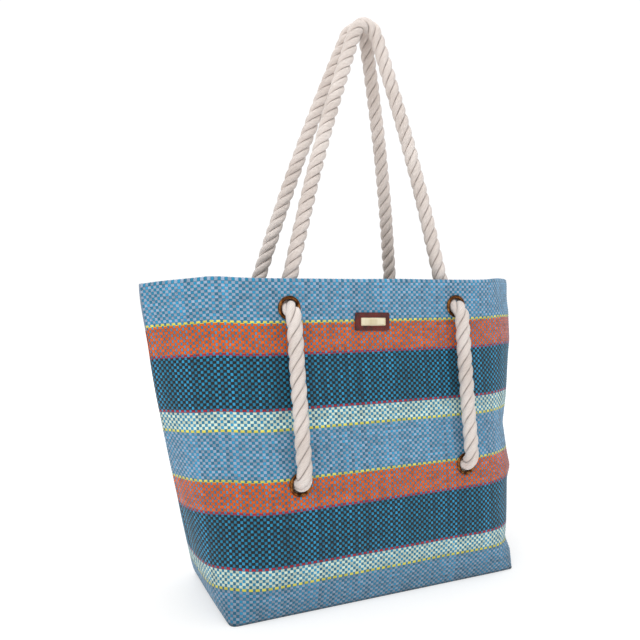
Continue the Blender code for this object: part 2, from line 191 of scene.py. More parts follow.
def make_camera():
    data = bpy.data.cameras.new("camera")
    data.sensor_width, data.lens = SENSOR, LENS
    data.clip_start, data.clip_end = 0.05, 30
    cam = bpy.data.objects.new("camera", data)
    bpy.context.scene.collection.objects.link(cam)
    cam.location = CAMERA_PLACE
    cam.rotation_euler = (math.radians(90 - CAMERA_DOWN), 0, math.radians(CAMERA_TURN))
    bpy.context.scene.camera = cam


make_camera()


# ---- mesh helpers ----
def add_mesh(name, points, faces, mat, smooth_angle=60, uv=None, uv_name="cells"):
    """A mesh object with its faces turned outwards; `uv` is one pair for each point."""
    mesh = bpy.data.meshes.new(name)
    mesh.from_pydata([tuple(p) for p in points], [], [tuple(f) for f in faces])
    if uv is not None:
        layer = mesh.uv_layers.new(name=uv_name)
        index = np.zeros(len(mesh.loops), np.int32)
        mesh.loops.foreach_get("vertex_index", index)
        layer.data.foreach_set("uv", np.asarray(uv, np.float32)[index].ravel())
    work = bmesh.new()
    work.from_mesh(mesh)
    bmesh.ops.recalc_face_normals(work, faces=work.faces)
    if work.calc_volume(signed=True) < 0:
        bmesh.ops.reverse_faces(work, faces=work.faces)
    work.to_mesh(mesh)
    work.free()
    mesh.shade_smooth()
    mesh.set_sharp_from_angle(angle=math.radians(smooth_angle))
    obj = bpy.data.objects.new(name, mesh)
    bpy.context.scene.collection.objects.link(obj)
    mesh.materials.append(mat)
    return obj


def strip_faces(rows, columns, closed_rows=False, closed_columns=False, start=0):
    """Faces of a grid of points, [row, column] in order."""
    faces = []
    for i in range(rows if closed_rows else rows - 1):
        for j in range(columns if closed_columns else columns - 1):
            k, m = (i + 1) % rows, (j + 1) % columns
            faces.append([
                start + i * columns + j, start + i * columns + m,
                start + k * columns + m, start + k * columns + j,
            ])
    return faces


def end_faces(rows, columns, start=0):
    """The two faces that close a grid whose columns run all the way round."""
    last = start + (rows - 1) * columns
    return [list(range(start, start + columns))[::-1], list(range(last, last + columns))]


# ---- node helpers ----
class Nodes:
    """A material's node tree, with short ways to add nodes to it."""

    def __init__(self, name):
        self.mat = bpy.data.materials.new(name)
        self.mat.use_nodes = True
        self.tree = self.mat.node_tree
        self.shader = self.tree.nodes["Principled BSDF"]

    def set(self, **sockets):
        for key, value in sockets.items():
            self.shader.inputs[key.replace("_", " ")].default_value = value

    def node(self, kind, inputs, out=0, **settings):
        """A new node's output, its inputs filled from numbers or from other outputs."""
        node = self.tree.nodes.new("ShaderNode" + kind)
        for key, value in settings.items():
            setattr(node, key, value)
        for key, value in inputs.items():
            if isinstance(value, bpy.types.NodeSocket):
                self.tree.links.new(value, node.inputs[key])
            else:
                node.inputs[key].default_value = value
        return node.outputs[out]

    def math(self, operation, *values):
        return self.node("Math", dict(enumerate(values)), operation=operation)

    def plus(self, a, b):
        return self.math("ADD", a, b)

    def minus(self, a, b):
        return self.math("SUBTRACT", a, b)

    def times(self, a, b):
        return self.math("MULTIPLY", a, b)

    def power(self, a, b):
        return self.math("POWER", a, b)

    def shares(self, a, part, b, other):
        """A share of one value and a share of another."""
        return self.plus(self.times(a, part), self.times(b, other))

    def split(self, vector):
        return self.node("SeparateXYZ", {0: vector}).node.outputs[:]

    def uv(self, name="cells"):
        return self.split(self.node("UVMap", {}, uv_map=name))[:2]

    def vector(self, x, y, z=0.0):
        return self.node("CombineXYZ", {"X": x, "Y": y, "Z": z})

    def place(self):
        return self.node("TexCoord", {}, "Object")

    def noise(self, vector, scale, detail=2.0, rough=0.5):
        inputs = {"Vector": vector, "Scale": scale, "Detail": detail, "Roughness": rough}
        return self.node("TexNoise", inputs, "Fac")

    def streaks(self, u, across, v, along, detail=3):
        """Noise drawn out in one direction, from how often it changes in each."""
        return self.noise(self.vector(self.times(u, across), self.times(v, along)), 1.0, detail)

    def chance(self, vector):
        return self.node("TexWhiteNoise", {"Vector": vector}, "Value")

    def ramp(self, fac, stops, constant=False):
        node = self.tree.nodes.new("ShaderNodeValToRGB")
        ramp = node.color_ramp
        ramp.interpolation = "CONSTANT" if constant else "LINEAR"
        while len(ramp.elements) < len(stops):
            ramp.elements.new(0.5)
        for element, (at, _) in zip(ramp.elements, stops):
            element.position = at
        for element, (_, colour) in zip(ramp.elements, stops):
            element.color = (*colour, 1.0)
        self.tree.links.new(fac, node.inputs[0])
        return node.outputs["Color"]

    def tones(self, value, low, high, dark, light):
        """From a dark colour to a light one while a value goes from low to high."""
        return self.ramp(self.band(value, low, high), [(0.0, dark), (1.0, light)])

    def mix(self, fac, a, b):
        return self.node("Mix", {0: fac, 6: a, 7: b}, 2, data_type="RGBA")

    def scaled(self, colour, factor):
        """A colour times a number."""
        return self.node("VectorMath", {0: colour, "Scale": factor}, operation="SCALE")

    def band(self, value, low, high, to_low=0.0, to_high=1.0, kind="SMOOTHSTEP"):
        inputs = dict(enumerate((value, low, high, to_low, to_high)))
        return self.node("MapRange", inputs, interpolation_type=kind)

    def bump(self, height, strength, distance, **before):
        inputs = {"Height": height, "Strength": strength, "Distance": distance}
        return self.node("Bump", {**inputs, **before})

    def finish(self, colour, roughness, normal):
        for key, value in (("Base Color", colour), ("Roughness", roughness), ("Normal", normal)):
            self.tree.links.new(value, self.shader.inputs[key])
        return self.mat


def rgb(*values):
    """An sRGB colour in 0..255 as linear light."""
    return tuple(
        v / 255 / 12.92 if v <= 10 else ((v / 255 + 0.055) / 1.055) ** 2.4 for v in values
    )


# ---- materials ----
LIGHT, YELLOW, ORANGE = rgb(146, 166, 190), rgb(226, 214, 88), rgb(208, 92, 10)
RED, NAVY, WHITE = rgb(160, 24, 44), rgb(16, 24, 28), rgb(208, 224, 208)
WARP_BLUE, WARP_DEEP, WARP_SKY = rgb(22, 130, 168), rgb(20, 114, 150), rgb(40, 150, 196)
STRIPES = [  # rows down from the rim where each colour of weft starts
    (0, LIGHT), (14, YELLOW), (15, ORANGE), (25, RED), (26, NAVY), (44, RED), (45, WHITE),
    (51, YELLOW), (52, LIGHT), (68, YELLOW), (69, ORANGE), (79, RED), (80, NAVY), (98, RED),
    (99, WHITE), (105, YELLOW), (106, LIGHT),
]
# half the width that the warp shows in, in cells, for each colour of weft
SHOWN = {LIGHT: 0.46, YELLOW: 0.36, ORANGE: 0.285, RED: 0.38, NAVY: 0.42, WHITE: 0.42}
EVEN = 64.0  # added to a count of cells, so that it is never below zero


def straw_material(name, stripes):
    """Plain weave in cells: u counts warp strips, v counts weft rows down from the rim."""
    n = Nodes(name)
    u, v = n.uv()
    row = n.math("FLOOR", n.plus(v, EVEN))
    odd = n.math("MODULO", row, 2.0)
    shifted = n.plus(n.plus(u, EVEN), odd)
    across = n.math("MODULO", shifted, 2.0)  # 0..1 is the warp strip's cell, 1..2 the weft's
    from_warp = n.math("ABSOLUTE", n.minus(across, 0.5))
    from_warp = n.math("MINIMUM", from_warp, n.minus(2.0, from_warp))
    place = n.math("DIVIDE", v, float(ROWS))
    shown = n.ramp(place, [(at / ROWS, (SHOWN[c],) * 3) for at, c in stripes], constant=True)
    is_warp = n.math("LESS_THAN", from_warp, shown)
    from_row = n.math("ABSOLUTE", n.minus(n.math("FRACT", n.plus(v, EVEN)), 0.5))
    # how far out of each visible cell's middle, 0 to 1 at its edge
    warp_edge = n.math("DIVIDE", from_warp, shown)
    weft_edge = n.math("DIVIDE", n.minus(1.0, from_warp), n.minus(1.0, shown))
    side = n.shares(is_warp, warp_edge, n.minus(1.0, is_warp), weft_edge)
    end = n.times(from_row, 2.0)
    # the strips' own colours
    strip = n.math("FLOOR", n.times(shifted, 0.5))
    chance_warp = n.chance(n.vector(n.math("FLOOR", n.plus(u, EVEN)), 3.0))
    chance_row = n.chance(n.vector(5.0, row))
    chance_cell = n.chance(n.vector(strip, row, odd))
    weft = n.ramp(place, [(at / ROWS, colour) for at, colour in stripes], constant=True)
    warp = n.ramp(chance_warp, [(0.0, WARP_DEEP), (0.45, WARP_BLUE), (1.0, WARP_SKY)])
    colour = n.mix(is_warp, weft, warp)
    # fibres along each strip, the cloth's uneven dye, painted shade over its lowest rows, and a painted
    # shadow line along its bottom edge
    streak = n.mix(is_warp, n.streaks(u, 0.7, v, 9.0), n.streaks(u, 9.0, v, 0.7))
    patch = n.streaks(u, 0.06, v, 0.09, 2)
    for shade in (
        n.band(streak, 0.3, 0.7, 0.84, 1.14),
        n.band(chance_cell, 0.0, 1.0, 0.80, 1.16, "LINEAR"),
        n.band(chance_row, 0.0, 1.0, 0.94, 1.06, "LINEAR"),
        n.band(patch, 0.3, 0.7, 0.95, 1.05),
        # painted shade: the lowest rows darker
        n.band(place, 0.84, 1.0, 1.0, 0.66, "LINEAR"),
        # painted shadow: a dark line along the bottom edge
        n.band(v, ROWS - 1.2, ROWS - 0.5, 1.0, 0.42),
    ):
        colour = n.scaled(colour, shade)
    # painted shade in the gaps between strips: each cell darker towards its edges
    wear_and_gap_shade = n.math("MAXIMUM", n.power(side, 4.0), n.power(end, 4.0))
    colour = n.scaled(colour, n.band(wear_and_gap_shade, 0.35, 1.0, 1.0, 0.50))
    # the strips' rounded tops, and the fibres on them
    crown = n.times(n.minus(1.0, n.power(side, 2.5)), n.minus(1.0, n.power(end, 2.5)))
    normal = n.bump(crown, 0.55, 0.0006)
    normal = n.bump(streak, 0.25, 0.0003, Normal=normal)
    n.set(Specular_IOR_Level=0.35, Sheen_Weight=0.12, Sheen_Roughness=0.5)
    return n.finish(colour, n.band(streak, 0.2, 0.8, 0.50, 0.72), normal)


def cotton_material(name, colour, dark, threads):
    """A plain woven cotton; `threads` to the metre, on the uv's metres."""
    n = Nodes(name)
    u, v = n.uv("metres")
    x, y = n.times(u, threads * math.pi), n.times(v, threads * math.pi)
    weave = n.times(n.math("SINE", x), n.math("SINE", y))
    slub = n.streaks(u, 60.0, v, 900.0)
    cloud = n.noise(n.place(), 14.0, 3)
    tint = n.shares(slub, 0.5, cloud, 0.5)
    tone = n.tones(tint, 0.3, 0.7, dark, colour)
    tone = n.scaled(tone, n.band(weave, -1.0, 1.0, 0.90, 1.04))
    normal = n.bump(weave, 0.35, 0.0002)
    normal = n.bump(cloud, 0.3, 0.002, Normal=normal)
    n.set(Specular_IOR_Level=0.2, Sheen_Weight=0.25)
    return n.finish(tone, n.band(slub, 0.3, 0.7, 0.82, 0.95), normal)


def rope_material(name):
    """Twisted cotton: u is metres along a strand, v goes once round it."""
    n = Nodes(name)
    u, v = n.uv("strand")
    twist = n.shares(v, 9.0, u, -260.0)
    yarn = n.math("ABSOLUTE", n.math("SINE", n.times(twist, math.pi)))
    fibre = n.streaks(u, 240.0, twist, 3.0, 4)
    fuzz = n.noise(n.place(), 420.0, 4, 0.6)
    cloud = n.noise(n.place(), 22.0, 2)
    warmth = n.shares(fibre, 0.6, cloud, 0.4)
    tone = n.ramp(n.band(warmth, 0.32, 0.68), [
        (0.0, rgb(208, 196, 188)), (0.5, rgb(224, 213, 206)), (1.0, rgb(236, 227, 221)),
    ])
    # painted shade in the grooves where the strands meet
    groove_shade = n.math("ABSOLUTE", n.minus(v, 0.5))
    tone = n.scaled(tone, n.band(yarn, 0.0, 0.5, 0.86, 1.0))
    tone = n.scaled(tone, n.band(groove_shade, 0.27, 0.36, 1.0, 0.50))
    normal = n.bump(yarn, 0.45, 0.0005)
    normal = n.bump(fuzz, 0.25, 0.0005, Normal=normal)
    n.set(Specular_IOR_Level=0.2, Sheen_Weight=0.35, Sheen_Roughness=0.5)
    return n.finish(tone, n.band(fuzz, 0.2, 0.8, 0.78, 0.96), normal)


def brass_material(name):
    """Antique brass: dark in its hollows, rubbed brighter."""
    n = Nodes(name)
    place = n.place()
    cloud, grain = n.noise(place, 160.0, 4, 0.6), n.noise(place, 900.0, 3)
    wear_and_gap_shade = n.shares(cloud, 0.7, grain, 0.3)
    tone = n.ramp(n.band(wear_and_gap_shade, 0.36, 0.66), [
        (0.0, rgb(56, 32, 18)), (0.55, rgb(116, 70, 36)), (1.0, rgb(178, 122, 66)),
    ])
    n.set(Metallic=1.0)
    return n.finish(tone, n.band(cloud, 0.3, 0.7, 0.26, 0.46), n.bump(grain, 0.15, 0.0002))


def leather_material(name):
    n = Nodes(name)
    place = n.place()
    grain = n.node("TexVoronoi", {"Vector": place, "Scale": 950.0}, "Distance")
    cloud = n.noise(place, 130.0, 4)
    tone = n.tones(cloud, 0.3, 0.7, rgb(58, 12, 8), rgb(104, 26, 16))
    normal = n.bump(n.band(grain, 0.0, 0.6), 0.35, 0.0003)
    n.set(Specular_IOR_Level=0.45, Coat_Weight=0.08, Coat_Roughness=0.35)
    return n.finish(tone, n.band(cloud, 0.2, 0.8, 0.42, 0.62), normal)


def gilt_material(name):
    """Pale gilt metal, brushed along the plate."""
    n = Nodes(name)
    x, _, z = n.split(n.place())
    brush = n.streaks(x, 90.0, z, 6000.0)
    tone = n.tones(brush, 0.3, 0.7, rgb(226, 212, 176), rgb(248, 240, 216))
    n.set(Metallic=1.0)
    return n.finish(tone, n.band(brush, 0.3, 0.7, 0.42, 0.58), n.bump(brush, 0.12, 0.0001))


def thread_material(name, light, dark):
    n = Nodes(name)
    place = n.place()
    ply, cloud = n.noise(place, 2600.0, 2), n.noise(place, 260.0, 2)
    tone = n.tones(cloud, 0.3, 0.7, dark, light)
    n.set(Specular_IOR_Level=0.3, Sheen_Weight=0.2)
    return n.finish(tone, n.band(ply, 0.2, 0.8, 0.6, 0.85), n.bump(ply, 0.5, 0.0003))


def board_material(name):
    n = Nodes(name)
    place = n.place()
    fibre, cloud = n.noise(place, 700.0, 4, 0.65), n.noise(place, 40.0, 3)
    tone = n.tones(fibre, 0.3, 0.7, rgb(96, 82, 66), rgb(140, 122, 100))
    return n.finish(tone, n.band(cloud, 0.3, 0.7, 0.75, 0.92), n.bump(fibre, 0.4, 0.0004))


STRAW = straw_material("straw_striped", STRIPES)
STRAW_PLAIN = straw_material("straw_base", [(0, LIGHT)])
COTTON = cotton_material("lining_cotton", rgb(228, 218, 196), rgb(206, 194, 170), 1400.0)
ROPE = rope_material("rope_cotton")
BRASS, GILT = brass_material("brass_antique"), gilt_material("gilt_brushed")
LEATHER = leather_material("leather_grain")
BLUE_THREAD = thread_material("thread_blue", rgb(70, 130, 170), rgb(30, 84, 126))
PALE_THREAD = thread_material("thread_pale", rgb(222, 210, 186), rgb(186, 172, 148))
DARK_THREAD = thread_material("thread_dark", rgb(120, 62, 44), rgb(70, 30, 20))
BOARD = board_material("board_fibre")


# ---- rope routes, as in the part's source ----
def bend(centre, start, towards, radius, steps=4):
    angles = (math.pi / 2 * k / steps for k in range(steps + 1))
    return [centre + start * radius * math.cos(a) + towards * radius * math.sin(a) for a in angles]


def stack_depth(end):
    depth = WEAVE + GAP + LINING
    return depth + GAP + FACING if end == "upper" else depth


def rope_depth():
    return stack_depth("upper") + WASHER + LIP + 3 * GAP - 0.0018 + ROPE_BEND


def rim_exit(back, side):
    """Where a rope comes out over the rim."""
    s = side * GROMMET_S
    right, up, out = directions(back, s, 0.995)
    level = surface(back, s, 1) - up * HINGE_DROP
    lean = right * RIM_LEAN * (side if back else -side)
    return level - out * rope_depth() + lean


def handle_route(back):
    left, right = rim_exit(back, -1), rim_exit(back, 1)
    apex = Vector(HANDLE_APEX) + Vector((0, HANDLE_SPLIT / 2 * (1 if back else -1), 0))
    middle = (left + right) / 2
    across = (right - left).normalized()
    rise = apex - middle
    shift = rise.dot(across)
    upward = (rise - across * shift).normalized()
    height = rise.dot(upward) - HANDLE_TOP_BEND
    centre = middle + across * shift + upward * height
    route = []
    for side, foot in ((-1, left), (1, right)):
        run = abs((foot - middle).dot(across)) - side * shift
        lean = math.atan2(run, height) - math.asin(HANDLE_TOP_BEND / math.hypot(run, height))
        tangent = math.pi / 2 - lean
        half = [
            centre + (across * side * math.sin(a) + upward * math.cos(a)) * HANDLE_TOP_BEND
            for a in (tangent * k / 4 for k in range(5))
        ]
        top = half[-1]
        for k in range(1, 12):
            u = k / 11
            half.append(top.lerp(foot, u) + across * side * HANDLE_BOW * math.sin(math.pi * u))
        route.append(half)
    return route[0][::-1] + route[1][1:]


def fixed_rope_route(back, side):
    """From the inside knot out of the lower eyelet, up the outside, in at the upper one."""
    s = side * GROMMET_S
    _, low_up, low_out = directions(back, s, LOWER_T)
    _, high_up, high_out = directions(back, s, UPPER_T)
    low, high, lead = surface(back, s, LOWER_T), surface(back, s, UPPER_T), 0.0005
    route = [low - low_out * 0.0100, low - low_out * 0.004]
    route += bend(low + low_out * lead + low_up * ROPE_BEND, -low_up, low_out, ROPE_BEND)
    for t in np.linspace(LOWER_T, UPPER_T, 7)[1:-1]:
        route.append(surface(back, s, t) + directions(back, s, t)[2] * (lead + ROPE_BEND))
    route += bend(high + high_out * lead - high_up * ROPE_BEND, high_out, high_up, ROPE_BEND)
    deep = rope_depth() - ROPE_BEND
    centre = high - high_out * deep + high_up * ROPE_BEND
    route += bend(centre, -high_up, -high_out, ROPE_BEND)[:-1]
    return route


def whole_route(back):
    """One rope from its left knot to its right knot, as an evenly spaced smooth line."""
    points = fixed_rope_route(back, -1) + handle_route(back) + fixed_rope_route(back, 1)[::-1]
    return even_line(np.array([tuple(p) for p in points]), ROPE_STEP)


def even_line(points, step, rounds=2):
    """A line through the points, spaced evenly and eased, so that its bends are round."""
    for spacing in (0.004, step):
        length = np.concatenate([[0], np.cumsum(np.linalg.norm(np.diff(points, axis=0), axis=1))])
        count = max(4, int(round(length[-1] / spacing)))
        even = np.linspace(0, length[-1], count + 1)
        points = np.stack([np.interp(even, length, points[:, k]) for k in range(3)], axis=1)
        for _ in range(rounds):
            inner = (points[:-2] + 2 * points[1:-1] + points[2:]) / 4
            points = np.concatenate([points[:1], inner, points[-1:]])
    return points


def line_frames(points, first):
    """Unit tangents and two side directions that turn as little as possible along the line."""
    tangents = unit(np.gradient(points, axis=0))
    side = unit(first - tangents[0] * np.dot(first, tangents[0]))
    sides = [side]
    for tangent in tangents[1:]:
        side = unit(side - tangent * np.dot(side, tangent))
        sides.append(side)
    sides = np.array(sides)
    return tangents, sides, np.cross(tangents, sides)


def swept(x, y, one, two):
    """A flat outline's points, [along, round], laid in the plane of two directions each time."""
    return x[None, :, None] * one[:, None] + y[None, :, None] * two[:, None]


STRAND_SIDES = 16
STRAND_OUT, STRAND_DEEP, STRAND_WIDE, STRAND_APART = 0.53, 0.47, 0.60, 0.02  # of the rope's radius
SPREAD = math.tan(math.radians(60))
ROPE_STEP = 0.0022
ROPE_LAYS, KNOT_LAYS = ((0.30, 0.050), (0.42, 0.043)), ((0, 0.046), (1, 0.046))


def strand_section(angle):
    """A strand's outline in the rope's section: an oval, flat where it meets the next one."""
    x = STRAND_OUT + STRAND_DEEP * np.cos(angle)
    y = STRAND_WIDE * np.sin(angle)
    return x, np.clip(y, STRAND_APART - SPREAD * x, SPREAD * x - STRAND_APART)


def twisted_rope(name, line, radius, start_turn, lays):
    """Three strands twisted about a line; each is a closed tube with its ends drawn in.

    `lays` are (height, lay) pairs: the rope is twisted harder where it isn't pulled straight.
    """
    _, one, two = line_frames(line, np.array([0.3, 1.0, 0.2]))
    step = np.linalg.norm(np.diff(line, axis=0), axis=1)
    length = np.concatenate([[0], np.cumsum(step)])
    lay = np.interp(line[:, 2], *zip(*lays))
    turned = np.concatenate([[0], np.cumsum(step * 2 / (lay[1:] + lay[:-1]))])
    angle = math.pi + 2 * math.pi * np.arange(STRAND_SIDES) / STRAND_SIDES
    section_x, section_y = strand_section(angle)
    points, faces, uv = [], [], []
    for k in range(3):
        turn = 2 * math.pi * (turned + k / 3) + start_turn
        outward = np.cos(turn)[:, None] * one + np.sin(turn)[:, None] * two
        sideways = np.cos(turn)[:, None] * two - np.sin(turn)[:, None] * one
        size = radius * (1 + 0.025 * np.sin(length * 311 + k * 2.1) * np.sin(length * 97 + k))
        size[[0, -1]] *= 0.8
        size = size[:, None, None]
        tube = line[:, None] + size * swept(section_x, section_y, outward, sideways)
        base = len(points)
        points += list(tube.reshape(-1, 3))
        uv += [(length[i] + k * 3.1, j / STRAND_SIDES)
               for i in range(len(line)) for j in range(STRAND_SIDES)]
        faces += strip_faces(len(line), STRAND_SIDES, closed_columns=True, start=base)
        faces += end_faces(len(line), STRAND_SIDES, base)
    return add_mesh(name, points, faces, ROPE, 70, uv, "strand")


LINES = {back: whole_route(back) for back in (False, True)}
ROPES = {
    back: twisted_rope(f"{word}_rope", LINES[back], ROPE_RADIUS + 0.0002, turn, ROPE_LAYS)
    for back, word, turn in ((False, "front", 0.6), (True, "back", 2.0))
}


# ---- stopper knots ----
def cloth_place(back, s, t):
    """A frame on the cloth: x to the right along it, y up it, z out of it."""
    place = Matrix(directions(back, s, t)).transposed().to_4x4()
    place.translation = surface(back, s, t)
    return place


def grommet_place(back, side, end):
    return cloth_place(back, side * GROMMET_S, UPPER_T if end == "upper" else LOWER_T)


def knot_line(turned):
    """An overhand stopper about local -Z: out along the axis, round it, and out again."""
    points = [(0.0, 0.0, -0.0085), (0.0, 0.0, -0.013), (0.0005, 0.0, -0.020)]
    points += [(0.0020, 0.0010, -0.030), (0.0060, 0.0020, -0.0385)]
    for k in range(15):
        a = math.radians(20 + 27 * k)
        fall = smooth(k / 14)
        rise = -0.0395 + 0.0215 * fall
        radius = 0.0125 + 0.0012 * math.sin(math.pi * k / 14)
        points.append((radius * math.cos(a), radius * math.sin(a), rise))
    points += [(0.0122, -0.0052, -0.0225), (0.0132, -0.0035, -0.032), (0.0128, -0.0050, -0.044)]
    points += [(0.0108, -0.0062, -0.056), (0.0085, -0.0075, -0.070)]
    turn = Matrix.Rotation(turned, 4, "Z")
    return np.array([tuple(turn @ Vector(p)) for p in points])


KNOT_RADIUS, WHIPPING_RADIUS, WHIPPING_LENGTH = 0.0080, 0.00835, 0.0065
WHIPPING_TURNS, WHIPPING_STEPS, THREAD_RADIUS = 55 / 6, 110, 0.00042


def whipping_line(tail):
    """Turns of thread round a knot's tail, near its end."""
    centre, axis = tail[-5], unit(tail[-6] - tail[-1])
    one = unit(np.cross(axis, [0.2, 0.4, 1.0]))
    two = np.cross(axis, one)
    share = np.arange(WHIPPING_STEPS + 1)[:, None] / WHIPPING_STEPS
    angle = 2 * math.pi * WHIPPING_TURNS * share
    ring = one * np.cos(angle) + two * np.sin(angle)
    return centre + axis * WHIPPING_LENGTH * (share - 0.5) + WHIPPING_RADIUS * ring


def make_knot(back, side, word, side_word):
    place = grommet_place(back, side, "lower")
    line = knot_line(math.radians(70 if side < 0 else 200) + (0.7 if back else 0.0))
    line = np.array([tuple(place @ Vector(p)) for p in line])
    line = even_line(line, ROPE_STEP, 1)
    knot = twisted_rope(f"{word}_{side_word}_stopper", line, KNOT_RADIUS, 0.4 * side, KNOT_LAYS)
    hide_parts(f"{word}_{side_word}_knot")
    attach(knot, "bag")
    name = f"{word}_{side_word}_whipping"
    band = tube_mesh(name, whipping_line(line), THREAD_RADIUS, 6, PALE_THREAD)
    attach(band, "bag")
    return knot, band


def tube_mesh(name, line, radius, sides, mat):
    """A plain closed tube along a line."""
    _, a, b = line_frames(line, np.array([0.31, 0.22, 0.9]))
    angle = 2 * math.pi * np.arange(sides) / sides
    points = (line[:, None] + swept(np.cos(angle), np.sin(angle), a, b) * radius).reshape(-1, 3)
    faces = strip_faces(len(line), sides, closed_columns=True) + end_faces(len(line), sides)
    return add_mesh(name, points, faces, mat)


for back, word in FACES:
    [piece for side, sw in SIDES for piece in make_knot(back, side, word, sw)]
    rope = ROPES[back]
    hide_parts(f"{word}_handle", f"{word}_left_rope", f"{word}_right_rope")
    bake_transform(rope)


# ---- woven panels ----
def grid_noise(shape, cells):
    """Smooth random values over a grid, about -1 to 1."""
    coarse = RNG.uniform(-1, 1, (cells[0] + 3, cells[1] + 3))
    i, j = np.linspace(0, cells[0], shape[0]), np.linspace(0, cells[1], shape[1])
    i0, j0 = np.minimum(i.astype(int), cells[0] - 1), np.minimum(j.astype(int), cells[1] - 1)
    u, v = smooth(i - i0)[:, None], smooth(j - j0)[None]
    a, b = coarse[i0][:, j0], coarse[i0][:, j0 + 1]
    c, d = coarse[i0 + 1][:, j0], coarse[i0 + 1][:, j0 + 1]
    return (a * (1 - v) + b * v) * (1 - u) + (c * (1 - v) + d * v) * u


SAG_GRID = (97, 161)
SAG_BROAD, SAG_FINE = 0.0013, 0.0006
# how far the front's right-hand edge stands out, in mm, at heights from the base to the rim
SWAY = ((0.0, -1.3), (0.06, 0.0), (0.11, -6.6), (0.16, -2.7), (0.21, -1.3), (0.31, 0.0), (0.35, 4.0),
        (0.40, 0.0), (0.45, -2.7), (0.50, -5.3), (0.55, -2.7), (0.60, 0.0), (0.65, 1.3), (0.74, 2.7),
        (0.79, 4.0), (0.84, 2.7), (0.89, 1.3), (0.94, -2.7), (0.99, -4.0))
SWAY_AT, SWAY_REACH = 0.8, 0.25


def make_sag(back):
    """A table of how far one panel's cloth stands out: free in its middle, held at its edges."""
    broad = grid_noise(SAG_GRID, (3, 5)) * SAG_BROAD + grid_noise(SAG_GRID, (6, 11)) * SAG_FINE
    height = np.linspace(0, 1, SAG_GRID[0])[:, None]
    across = np.linspace(-1, 1, SAG_GRID[1])[None]
    held = smooth(height / 0.10) * (1 - 0.55 * smooth((height - 0.80) / 0.2))
    held = held * (1 - 0.8 * smooth((np.abs(across) - 0.90) / 0.10))
    if back:
        return broad * held
    near = np.clip(1 - ((across - SWAY_AT) / SWAY_REACH) ** 2, 0, 1) ** 2
    return broad * held + np.interp(height, *zip(*SWAY)) / 1000 * near


SAGS = {back: make_sag(back) for back in (False, True)}


def sag(back, s, t):
    """How far the cloth stands out of the part's even surface, before its relief."""
    return looked_up(SAGS[back], s, t)


PRESSED, RELEASED = 0.0142, 0.030  # round a grommet the cloth is flat, and free again


def pressed_flat(back, points, depth):
    """Points near a grommet laid into its plane, and how flat each point now is."""
    flatness = np.zeros(points.shape[:-1])
    for side, end in GROMMETS:
        place = grommet_place(back, side, end)
        centre, out = np.array(place.translation), np.array(place.col[2][:3])
        gap = points - centre
        height = gap @ out
        apart = np.linalg.norm(gap - height[..., None] * out, axis=-1)
        near = 1 - smooth((apart - PRESSED) / (RELEASED - PRESSED))
        near = near * (np.abs(height) < 0.03)
        points = points - ((height + depth) * near)[..., None] * out
        flatness = np.maximum(flatness, 1 - smooth((apart - PRESSED) / 0.002))
    return points, flatness


def cell_relief(columns, rows):
    """Each cell's strip is crowned: high in its middle, low at its corners."""
    u, v = np.abs(columns % 1 - 0.5) * 2, np.abs(rows % 1 - 0.5) * 2
    return (1 - 0.75 * u ** 2) * (1 - 0.75 * v ** 2)


def layer_points(back, s, t, depth, relief):
    """A grid of points that far under the cloth's outer face, with relief standing out of it."""
    base = cloth(back, s, t)
    out = axes(back, s, t)[2]
    stands = sag(back, s, t)
    depth = np.broadcast_to(np.asarray(depth, float), stands.shape)
    points = base + out * stands[..., None] - flat_unit(out) * depth[..., None]
    points, flatness = pressed_flat(back, points, depth)
    return points + out * (relief * (1 - flatness))[..., None]


SEAM_DEEP, SEAM_WIDE = 0.0022, 0.0045


def seam_dip(s):
    """How far the cloth turns in beside a side seam."""
    gap = (1 - np.abs(s)) * PANEL_WIDTH / 2
    return SEAM_DEEP * (1 - smooth(gap / SEAM_WIDE))


def side_caps(columns, inner_first, outer_t, back_t, face_t):
    """Faces that close a panel's two side edges, from its outer face to the layers inside."""
    outer_count, face_first = len(outer_t), inner_first - len(face_t)
    inner = [(t, inner_first + i) for i, t in enumerate(back_t)][::-1]
    inner += [(t, face_first + i) for i, t in enumerate(face_t)][::-1]
    faces = []
    for j in (0, columns - 1):
        a, b = 0, 0  # how far up the outer edge and the inner one the strip has come
        while a < outer_count - 1 or b < len(inner) - 1:
            if b == len(inner) - 1 or (a < outer_count - 1 and outer_t[a + 1] <= inner[b + 1][0]):
                faces.append([a, a + 1, inner[b][1]])
                a += 1
            else:
                faces.append([a, inner[b + 1][1], inner[b][1]])
                b += 1
            faces[-1] = [k * columns + j for k in faces[-1]]
        faces.append([k * columns + j for k in range(outer_count - 1, face_first + 1)])
    return faces


FOLD_STEPS = 6  # from the outer face over the rim to the facing
RIM_RISE, RIM_DROOP, RIM_WAVER = 0.0012, 0.0026, 0.0006


def fold_rings(back, s, columns):
    """Rings of points over the rim, from the outer face to the facing."""
    out = axes(back, s, np.full_like(s, 0.99))[2]
    lift = grid_noise((1, len(s)), (1, 9))[0] * RIM_WAVER
    top = cloth(back, s, 1.0) + out * sag(back, s, np.ones_like(s))[:, None]
    rings = []
    for k in range(1, FOLD_STEPS):
        a = math.pi * k / FOLD_STEPS
        depth = INSIDE_DEPTH / 2 * (1 - math.cos(a))
        wave = cell_relief(columns, np.full_like(columns, 0.5 + k / 3)) * RELIEF * 0.6
        ring = top - flat_unit(out) * np.maximum(depth, seam_dip(s))[:, None]
        ring[:, 2] += RIM_RISE - RIM_DROOP * (1 - math.sin(a)) + lift + wave * math.sin(a)
        rings.append(ring)
    return rings


def back_heights(top):
    """Where the hidden back of the cloth has rows: coarse, but for the lower grommets' height."""
    steps = ROWS * PER_CELL
    hidden = [t for t in np.arange(steps + 1)[::-1] / steps if t < top - 1e-9]
    near = [i for i, t in enumerate(hidden) if abs(t - LOWER_T) * PANEL_HEIGHT < 0.02]
    keep = sorted(set(range(0, len(hidden), 8)) | set(near[::2]) | {len(hidden) - 1})
    return np.array([top - 0.0004, *(hidden[i] for i in keep)])


